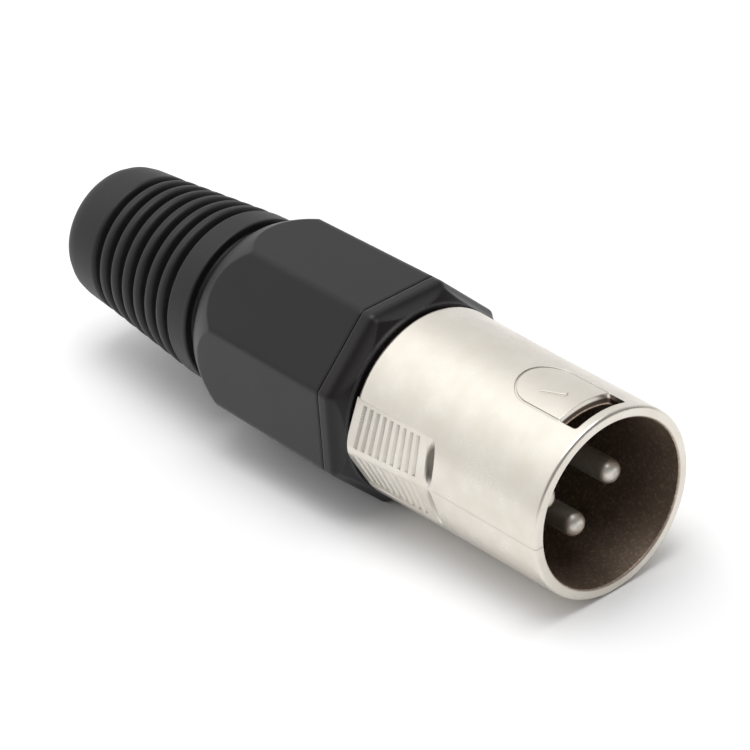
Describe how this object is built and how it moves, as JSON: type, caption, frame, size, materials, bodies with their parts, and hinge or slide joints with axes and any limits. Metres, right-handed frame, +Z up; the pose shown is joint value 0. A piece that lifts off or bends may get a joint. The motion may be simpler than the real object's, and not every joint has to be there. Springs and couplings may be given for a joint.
{
  "type": "xlr plug",
  "caption": "Round cable connector plug with pin contacts in a metal shell, a latch window, an eight-sided screw-on body and a ribbed strain relief boot.",
  "frame": {"origin": "middle of the overall length, on the plug's axis", "axes": "+X along the axis towards the mouth, +Z up through the latch window, +Y to the side of contact 1, which the carrier is turned 8 degrees below"},
  "size_m": [0.0732, 0.021, 0.021],
  "materials": {
    "nickel": "satin nickel plating on a die-cast shell",
    "carrier": "moulded, matte",
    "pin": "turned and silver plated",
    "spring": "stamped strip",
    "clamp": "moulded, natural white",
    "cap": "moulded, satin",
    "boot": "soft, matte"
  },
  "bodies": {
    "plug": {"shell": "nickel", "insert": "carrier", "contact_1": "pin", "contact_2": "pin", "contact_3": "pin", "ground_clip": "spring"},
    "clamp": {"cable_clamp": "clamp"},
    "back": {"cap": "cap", "boot": "boot"}
  },
  "joints": [
    {"name": "clamp_slide", "type": "slide", "parent": "plug", "child": "clamp", "axis": [-1, 0, 0], "range_m": [0, 0.00625]},
    {"name": "cap_turn", "type": "hinge", "parent": "clamp", "child": "back", "pos_m": [0, 0, 0], "axis": [-1, 0, 0], "range_deg": [0, 1800]}
  ],
  "couplings": [
    {"joint": "clamp_slide", "follows": "cap_turn", "m_per_rad": 0.00019894}
  ]
}
